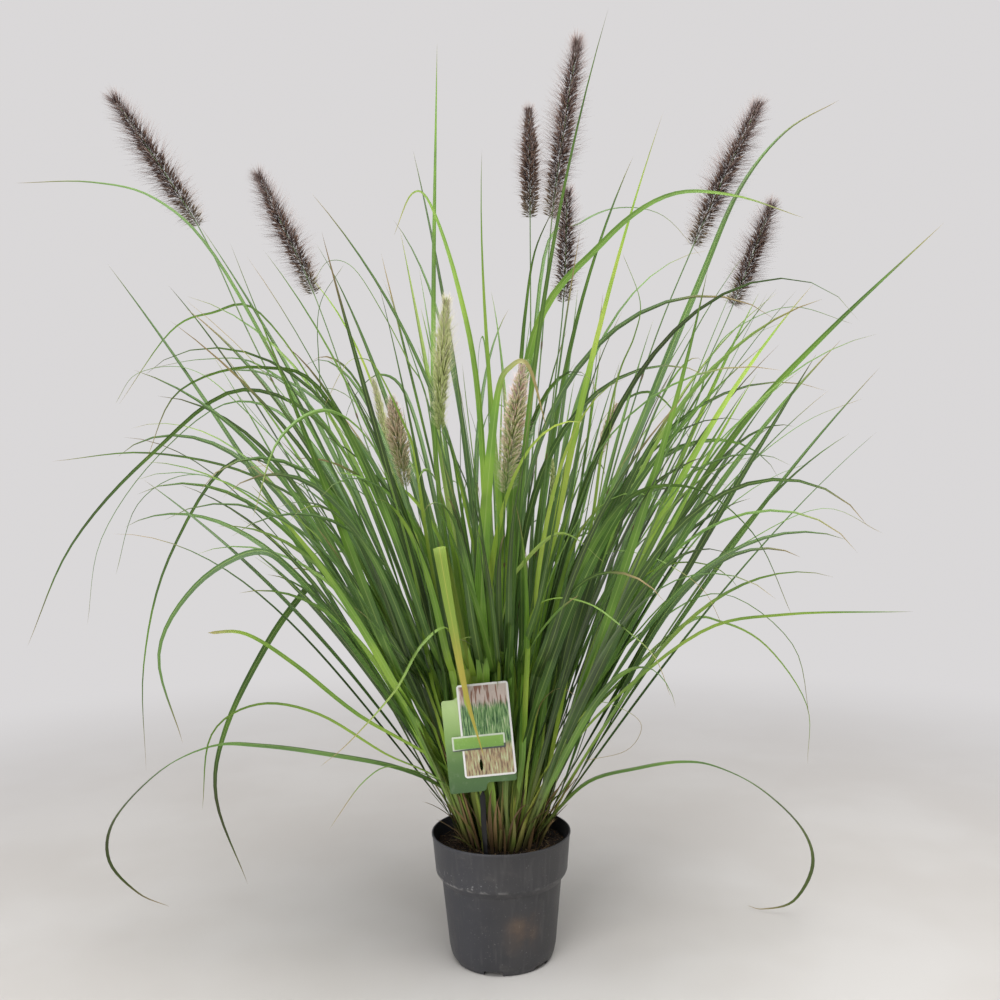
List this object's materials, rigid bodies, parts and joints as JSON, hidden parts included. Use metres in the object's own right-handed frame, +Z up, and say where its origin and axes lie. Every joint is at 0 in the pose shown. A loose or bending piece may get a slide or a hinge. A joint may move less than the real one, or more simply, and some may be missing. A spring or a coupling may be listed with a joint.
{
  "type": "potted fountain grass clump",
  "caption": "Fountain grass in a round nursery pot: a crown of tillers, long arching folded leaves, thin culms with bottle-brush flower spikes, and a plant label on a stake.",
  "frame": {"origin": "middle of the pot's underside, on the surface that it stands on", "axes": "+Z up along the pot's axis, -Y towards the side that the label faces, +X to the right of someone reading the label"},
  "size_m": [1.2504, 0.9304, 1.2557],
  "materials": {
    "pot_plastic": "matte",
    "peat_soil": "matte",
    "sheath_green": "satin",
    "leaf_green": "satin",
    "culm_green": "satin",
    "ripe_spike": "matte",
    "young_spike": "matte",
    "stake_plastic": "satin",
    "label_green": "satin",
    "label_picture": "gloss"
  },
  "bodies": {
    "root": {"culm_centre_left": "culm_green", "culm_centre_right": "culm_green", "culm_centre_tall": "culm_green", "culm_left_high": "culm_green", "culm_left_low": "culm_green", "culm_right_high": "culm_green", "culm_right_low": "culm_green", "culm_young_brown": "culm_green", "culm_young_furled": "culm_green", "culm_young_green": "culm_green", "culm_young_pale": "culm_green", "culm_young_pink": "culm_green", "label_back_card": "label_green", "label_picture_card": "label_picture", "label_stake": "stake_plastic", "leaf_back_left": "leaf_green", "leaf_back_low": "leaf_green", "leaf_back_middle": "leaf_green", "leaf_back_right": "leaf_green", "leaf_centre_arch": "leaf_green", "leaf_centre_upright": "leaf_green", "leaf_front_folded": "leaf_green", "leaf_front_hanging": "leaf_green", "leaf_front_left": "leaf_green", "leaf_front_right": "leaf_green", "leaf_left_back": "leaf_green", "leaf_left_blunt": "leaf_green", "leaf_left_broad": "leaf_green", "leaf_left_folded": "leaf_green", "leaf_left_front": "leaf_green", "leaf_left_hanging": "leaf_green", "leaf_left_high": "leaf_green", "leaf_left_hook": "leaf_green", "leaf_left_level": "leaf_green", "leaf_left_long": "leaf_green", "leaf_left_low": "leaf_green", "leaf_left_low_arch": "leaf_green", "leaf_left_trailing": "leaf_green", "leaf_right_back": "leaf_green", "leaf_right_front": "leaf_green", "leaf_right_hook": "leaf_green", "leaf_right_level": "leaf_green", "leaf_right_low": "leaf_green", "leaf_right_straight": "leaf_green", "leaf_right_tall": "leaf_green", "pot": "pot_plastic", "soil": "peat_soil", "spike_centre_left": "ripe_spike", "spike_centre_right": "ripe_spike", "spike_centre_tall": "ripe_spike", "spike_left_high": "ripe_spike", "spike_left_low": "ripe_spike", "spike_right_high": "ripe_spike", "spike_right_low": "ripe_spike", "spike_young_brown": "young_spike", "spike_young_furled": "young_spike", "spike_young_green": "young_spike", "spike_young_pale": "young_spike", "spike_young_pink": "young_spike", "tiller_bundle": "sheath_green"}
  },
  "joints": []
}
